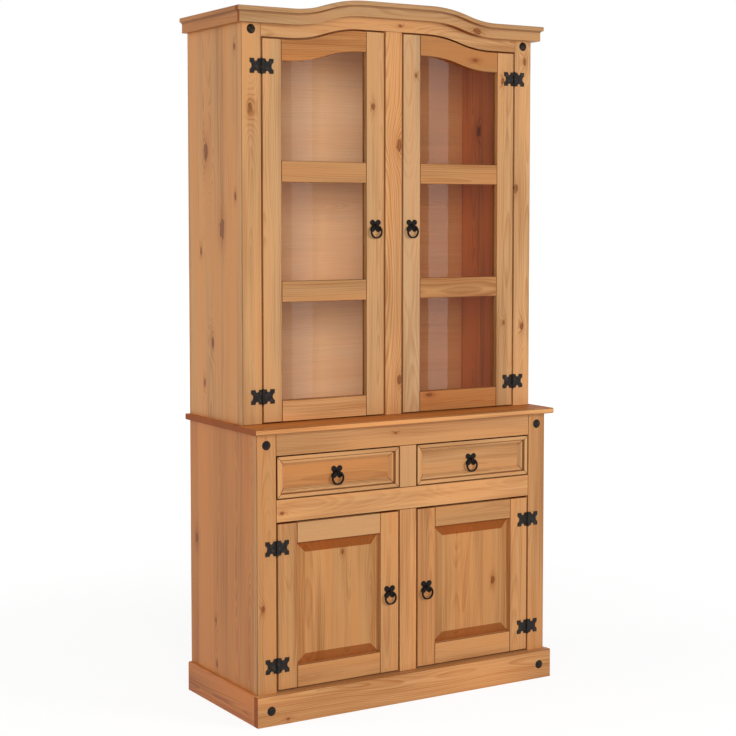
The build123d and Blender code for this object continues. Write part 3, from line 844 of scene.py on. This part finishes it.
class CABINET_OT_glass_doors(bpy.types.Operator):
    """Finish the frames, beads and panes of the glazed doors"""

    bl_idname = "cabinet.glass_doors"
    bl_label = "Glass doors"

    def execute(self, context):
        glass = clear_glass()
        for side, sign, seed in (("left", -1, 3.3), ("right", 1, 12.9)):
            coat(side + "_glass_pane", glass)
            self.frame_door(side, sign, seed)
        return {"FINISHED"}

    def frame_door(self, side, sign, seed):
        rebate, head, rail = 0.008, 0.045, 0.055
        low_rail, high_rail = 1.07, 1.38
        node = side + "_glass_door_frame"
        wax = GLASS_DOOR_WAX[side]
        low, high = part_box(node)
        middle = (low + high) / 2
        pane_low, pane_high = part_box(side + "_glass_pane")
        inner, outer = sorted((abs(pane_low.x), abs(pane_high.x)))
        stile = (outer + max(abs(low.x), abs(high.x))) / 2
        light_foot, light_head = pane_low.z + rebate, pane_high.z - head
        waist = (light_foot + light_head) / 2
        joints = (sign * (inner + rebate), sign * (outer - rebate))

        def upright(title, reach, number, options):
            centre = (sign * reach, middle.y, middle.z)
            return wood(f"{side}_{title}_wood", "zxy", centre, seed + number, **options)

        def crossing(title, level, number, options):
            centre = (middle.x, middle.y, level)
            return wood(f"{side}_{title}_wood", "xzy", centre, seed + number, joints=joints, **options)

        def in_bead(p):
            return p.y > pane_high.y and inner < sign * p.x < outer and pane_low.z < p.z < pane_high.z

        choices = [
            (upright("bead", stile, 0.4, dict(tone=0.8, warmth=1.5)), in_bead),
            (upright("outer_stile", stile, 1.1, wax["outer"]), lambda p: sign * p.x > outer - rebate),
            (upright("inner_stile", inner, 2.6, wax["inner"]), lambda p: sign * p.x < inner + rebate),
            (crossing("foot_rail", low.z, 3.4, wax["foot"]), lambda p: p.z < light_foot),
            (crossing("low_rail", low_rail, 4.8, wax["waist"]), lambda p: p.z < waist),
            (crossing("high_rail", high_rail, 5.9, wax["waist"]), lambda p: p.z < light_head - rail),
            (crossing("head_rail", high.z, 7.1, wax["head"]), always),
        ]
        refinished(node, choices)


class CABINET_OT_panel_doors(bpy.types.Operator):
    """Finish the frames and the fielded panels of the lower doors"""

    bl_idname = "cabinet.panel_doors"
    bl_label = "Panel doors"

    def execute(self, context):
        doors = (
            ("left", 5.2, [(0.425, -0.2, 0.0045)], dict(tone=0.73, warmth=0.88)),
            ("right", 14.6, [(0.292, 0.285, 0.007)], dict(tone=0.76, warmth=1.12)),
        )
        strip = context.scene.cabinet_finish.strip_width * 0.85
        field_wax = dict(contrast=0.28, tone=0.84, warmth=1.09, polish=0.12, hollow="bevel")
        for side, seed, knots, top_wax in doors:
            board(side + "_panel_door_panel", "zxy", seed + 0.7, knots=knots, strip=strip, **field_wax)
            self.frame_door(side, seed, top_wax)
        return {"FINISHED"}

    def frame_door(self, side, seed, top_wax):
        groove = 0.008
        node = side + "_panel_door_frame"
        low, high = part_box(node)
        middle = (low + high) / 2
        panel = side + "_panel_door_panel"
        panel_low, panel_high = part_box(panel)
        left_joint, right_joint = panel_low.x + groove, panel_high.x - groove
        frame_wax = dict(contrast=0.3, tone=0.86, warmth=1.1)

        def stile(title, x, number):
            name = f"{side}_panel_{title}_stile_wood"
            return wood(name, "zxy", (x, middle.y, middle.z), seed + number, **frame_wax)

        def rail(title, z, number, wax):
            name = f"{side}_panel_{title}_rail_wood"
            options = dict(joints=(left_joint, right_joint), **frame_wax | wax)
            return wood(name, "xzy", (middle.x, middle.y, z), seed + number, **options)

        choices = [
            (stile("left", low.x, 1.9), lambda p: p.x < left_joint),
            (stile("right", high.x, 2.7), lambda p: p.x > right_joint),
            (rail("top", high.z, 3.8, top_wax), lambda p: p.z > panel_high.z - groove),
            (rail("bottom", low.z, 4.5, {}), always),
        ]
        refinished(node, choices)


class CABINET_OT_drawers(bpy.types.Operator):
    """Finish the moulded fronts and the boxes of the drawers"""

    bl_idname = "cabinet.drawers"
    bl_label = "Drawers"

    def execute(self, context):
        fields = (
            ("left", 6.3, dict(tone=0.83, warmth=1.25)),
            ("right", 15.7, dict(tone=0.78, warmth=1.02, knots=[(0.213, 0.668, 0.003)])),
        )
        for side, seed, field in fields:
            self.dress_front(side, seed, field)
            self.dress_box(side, seed)
        return {"FINISHED"}

    def dress_front(self, side, seed, field):
        node = side + "_drawer_front"
        low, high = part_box(node)
        middle = (low + high) / 2
        moulding_depth = 0.014
        moulding_back = low.y + moulding_depth

        def upright(p):
            return high.x - middle.x - abs(p.x - middle.x) < high.z - middle.z - abs(p.z - middle.z)

        moulding = dict(contrast=0.3, tone=0.92, hollow="step", mitre=(low, high))
        field_wood = wood(side + "_drawer_board_wood", "xzy", middle, seed + 1.2, contrast=0.25, **field)
        choices = [
            (field_wood, lambda p: p.y > moulding_back),
            (wood(side + "_drawer_upright_wood", "zxy", low, seed + 2.3, **moulding), upright),
            (wood(side + "_drawer_moulding_wood", "xzy", low, seed + 3.1, **moulding), always),
        ]
        refinished(node, choices)

    def dress_box(self, side, seed):
        node = side + "_drawer_box"
        low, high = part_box(node)
        middle = (low + high) / 2
        board_width, bottom_reach = 0.012, 0.007
        bottom_low, bottom_high = low.z + 0.006, low.z + 0.010
        bottom_wood = dict(colours=PLY_COLOURS, contrast=0.5)

        def from_side(p):
            return high.x - middle.x - abs(p.x - middle.x)

        choices = [
            (
                wood(side + "_drawer_bottom_wood", "xyz", middle, seed + 6.6, **bottom_wood),
                lambda p: bottom_low < p.z < bottom_high and from_side(p) > bottom_reach,
            ),
            (
                wood(side + "_drawer_side_wood", "yzx", middle, seed + 4.2, colours=RAW_COLOURS),
                lambda p: from_side(p) < board_width,
            ),
            (wood(side + "_drawer_back_wood", "xzy", middle, seed + 5.4, colours=RAW_COLOURS), always),
        ]
        refinished(node, choices)


def screw_tree():
    """Domed heads, each with a driver slot, set on the points of a mesh and facing -Y."""
    g, given, made = group(
        "screw_heads",
        [
            ("Geometry", "Geometry", None),
            ("Radius", "Float", 0.0027),
            ("Height", "Float", 0.0011),
            ("Slot Width", "Float", 0.0007),
            ("Seed", "Int", 3),
            ("Material", "Material", None),
        ],
        [("Geometry", "Geometry")],
        "GeometryNodeTree",
    )

    def step(kind, output, values, **settings):
        return g.add("GeometryNode" + kind, values, **settings).outputs[output]

    height = given["Height"]
    ball = step("MeshUVSphere", "Mesh", {"Segments": 16, "Rings": 10, "Radius": 1.0})
    size = g.join(given["Radius"], given["Radius"], height)
    dome = step("Transform", "Geometry", {"Geometry": ball, "Scale": size})
    size = g.join(g.scaled(given["Radius"], 1.7), given["Slot Width"], height)
    bar = step("MeshCube", "Mesh", {"Size": size})
    bar = step("Transform", "Geometry", {"Geometry": bar, "Translation": g.join(0.0, 0.0, height)})
    cut = step("MeshBoolean", "Mesh", {"Mesh 1": dome, "Mesh 2": bar}, operation="DIFFERENCE")
    upright = math.pi / 2
    angles = {"Min": (upright, 0.0, 0.0), "Max": (upright, math.pi, 0.0), "Seed": given["Seed"]}
    turn = g.add("FunctionNodeRandomValue", angles, data_type="FLOAT_VECTOR").outputs["Value"]
    points = {"Points": given["Geometry"], "Instance": cut, "Rotation": turn}
    heads = step("RealizeInstances", "Geometry", {"Geometry": step("InstanceOnPoints", "Instances", points)})
    values = {"Geometry": heads, "Material": given["Material"]}
    g.link(step("SetMaterial", "Geometry", values), made["Geometry"])
    return g.tree


def scatter_heads(name, points, body, radius, height, seed):
    """Screw heads on the given points, made by the geometry nodes and turned into a plain mesh."""
    tree = group_once("screw_heads", screw_tree)
    mesh = bpy.data.meshes.new(name + "_points")
    mesh.from_pydata(points, [], [])
    carrier = new_object(name + "_points", mesh)
    modifier = carrier.modifiers.new("heads", "NODES")
    modifier.node_group = tree
    values = {
        "Radius": radius,
        "Height": height,
        "Slot Width": radius * 0.26,
        "Seed": seed,
        "Material": black_iron(),
    }
    for item in tree.interface.items_tree:
        if item.in_out == "INPUT" and item.name in values:
            modifier[item.identifier] = values[item.name]
    evaluated = carrier.evaluated_get(bpy.context.evaluated_depsgraph_get())
    made = bpy.data.meshes.new_from_object(evaluated)
    made.name = name
    carrier.modifiers.clear()
    bpy.data.objects.remove(carrier)
    if not made.polygons:
        raise RuntimeError(f"{name}: no heads were made")
    shade(made, HEAD_CREASE)
    settle(made, name, body)


def blacken(node, kind="leaf"):
    """Gives an iron node its finish and smooth shading."""
    return refinished(node, [(black_iron(kind), always)], IRON_CREASE)


class CABINET_OT_hinges(bpy.types.Operator):
    """Finish the butterfly hinges and set their screws"""

    bl_idname = "cabinet.hinges"
    bl_label = "Hinges"

    def execute(self, context):
        pin_radius, leaf_depth, half_leaf = 0.0032, 0.002, 0.0175
        spots = [(0.0245, 0.0), (0.0105, 0.012), (0.0105, -0.012)]
        ironwork = context.scene.cabinet_ironwork
        sizes = ironwork.screw_radius, ironwork.screw_height
        blacken("fixed_hinge_leaves")
        blacken("hinge_pins")
        fixed = []
        for side, sign, seed in (("left", -1, 1), ("right", 1, 3)):
            for kind in ("glass", "panel"):
                body = f"{side}_{kind}_door"
                node = body + "_leaves"
                blacken(node)
                low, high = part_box(node)
                front = high.y - leaf_depth
                pin = sign * (max(abs(low.x), abs(high.x)) - pin_radius)
                moving = []
                for level in (low.z + half_leaf, high.z - half_leaf):
                    for out, rise in spots:
                        moving.append((pin - sign * out, front, level + rise))
                        fixed.append((pin + sign * out, front, level + rise))
                scatter_heads(f"{side}_{kind}_leaf_screws", moving, body, *sizes, seed)
        scatter_heads("post_leaf_screws", fixed, "cabinet", *sizes, 9)
        return {"FINISHED"}


class CABINET_OT_pulls(bpy.types.Operator):
    """Finish the ring pulls and their plates"""

    bl_idname = "cabinet.pulls"
    bl_label = "Ring pulls"

    def execute(self, context):
        reach, plate_depth = 0.0095, 0.0024
        corners = ((-1, -1), (1, 1), (-1, 1), (1, -1))
        ironwork = context.scene.cabinet_ironwork
        sizes = ironwork.nail_radius, ironwork.screw_height * 0.5
        for side, seed in (("left", 20), ("right", 21)):
            for kind in ("glass_door", "panel_door", "drawer"):
                body = f"{side}_{kind}"
                self.swell(blacken(body + "_ring", "pull").data)
                node = body + "_pull"
                blacken(node, "pull")
                low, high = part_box(node)
                middle = (low + high) / 2
                self.cast_boss(body + "_pull_boss", body, (middle.x, high.y, middle.z))
                front = high.y - plate_depth
                points = [(middle.x + across * reach, front, middle.z + up * reach) for across, up in corners]
                scatter_heads(body + "_pull_nails", points, body, *sizes, seed)
        return {"FINISHED"}

    def cast_boss(self, name, body, place):
        """Round boss, a little proud of the plate, that fills it out between its lobes."""
        radius, edge, front, crown = 0.0116, 0.001, 0.0026, 0.0029
        outline = [(radius, 0), (radius, edge - front), (radius - edge, -front), (radius / 2, -crown)]
        steps = 40
        angles = [math.tau * step / steps for step in range(steps)]
        points = [(0, 0, 0), (0, -crown, 0)]
        for out, depth in outline:
            points += [(out * math.cos(angle), depth, out * math.sin(angle)) for angle in angles]
        back, tip = 0, 1
        faces = []
        for step in range(steps):
            here = [2 + ring * steps + step for ring in range(len(outline))]
            there = [2 + ring * steps + (step + 1) % steps for ring in range(len(outline))]
            faces += zip(here, there, there[1:], here[1:])
            faces += [(there[0], here[0], back), (here[-1], there[-1], tip)]
        mesh = bpy.data.meshes.new(name)
        mesh.from_pydata([Vector(point) + Vector(place) for point in points], [], faces)
        mesh.materials.append(black_iron("pull"))
        shade(mesh, IRON_CREASE)
        settle(mesh, name, body)

    def swell(self, mesh):
        """Makes the wire of a ring stouter away from the eye, where it is cast thicker."""
        eye, taper, growth = 0.004, 0.005, 0.0007
        sides = [point.co.x for point in mesh.vertices]
        centre = (min(sides) + max(sides)) / 2
        outward = [point.normal.copy() for point in mesh.vertices]
        for point, normal in zip(mesh.vertices, outward):
            share = (abs(point.co.x - centre) - eye) / taper
            point.co += normal * growth * min(1.0, max(0.0, share))
        mesh.update()


class CABINET_OT_studs(bpy.types.Operator):
    """Finish the round domed studs"""

    bl_idname = "cabinet.studs"
    bl_label = "Studs"

    def execute(self, context):
        for side in ("left", "right"):
            for place in ("upper", "lower", "plinth"):
                blacken(f"{side}_{place}_stud", "stud")
        return {"FINISHED"}


class CABINET_PT_panel(bpy.types.Panel):
    """Buttons for each group of pieces"""

    bl_idname = "CABINET_PT_panel"
    bl_label = "Cabinet"
    bl_space_type = "VIEW_3D"
    bl_region_type = "UI"
    bl_category = "Cabinet"

    def draw(self, context):
        for title in SETTINGS:
            settings = getattr(context.scene, title)
            box = self.layout.box()
            for name in settings.__annotations__:
                box.prop(settings, name)
        for operator in OPERATORS:
            self.layout.operator(operator.bl_idname)


OPERATORS = (
    CABINET_OT_stage,
    CABINET_OT_upper_case,
    CABINET_OT_upper_frame,
    CABINET_OT_lower_case,
    CABINET_OT_lower_frame,
    CABINET_OT_glass_doors,
    CABINET_OT_panel_doors,
    CABINET_OT_drawers,
    CABINET_OT_hinges,
    CABINET_OT_pulls,
    CABINET_OT_studs,
)
SETTINGS = {
    "cabinet_finish": CabinetFinish,
    "cabinet_ironwork": CabinetIronwork,
    "cabinet_studio": CabinetStudio,
}


def register():
    for cls in (*SETTINGS.values(), *OPERATORS, CABINET_PT_panel):
        bpy.utils.register_class(cls)
    for name, cls in SETTINGS.items():
        setattr(bpy.types.Scene, name, bpy.props.PointerProperty(type=cls))


def unregister():
    for name in SETTINGS:
        delattr(bpy.types.Scene, name)
    for cls in reversed((*SETTINGS.values(), *OPERATORS, CABINET_PT_panel)):
        bpy.utils.unregister_class(cls)


def main():
    register()
    for operator in OPERATORS:
        category, name = operator.bl_idname.split(".")
        getattr(getattr(bpy.ops, category), name)()


if __name__ == "__main__":
    main()
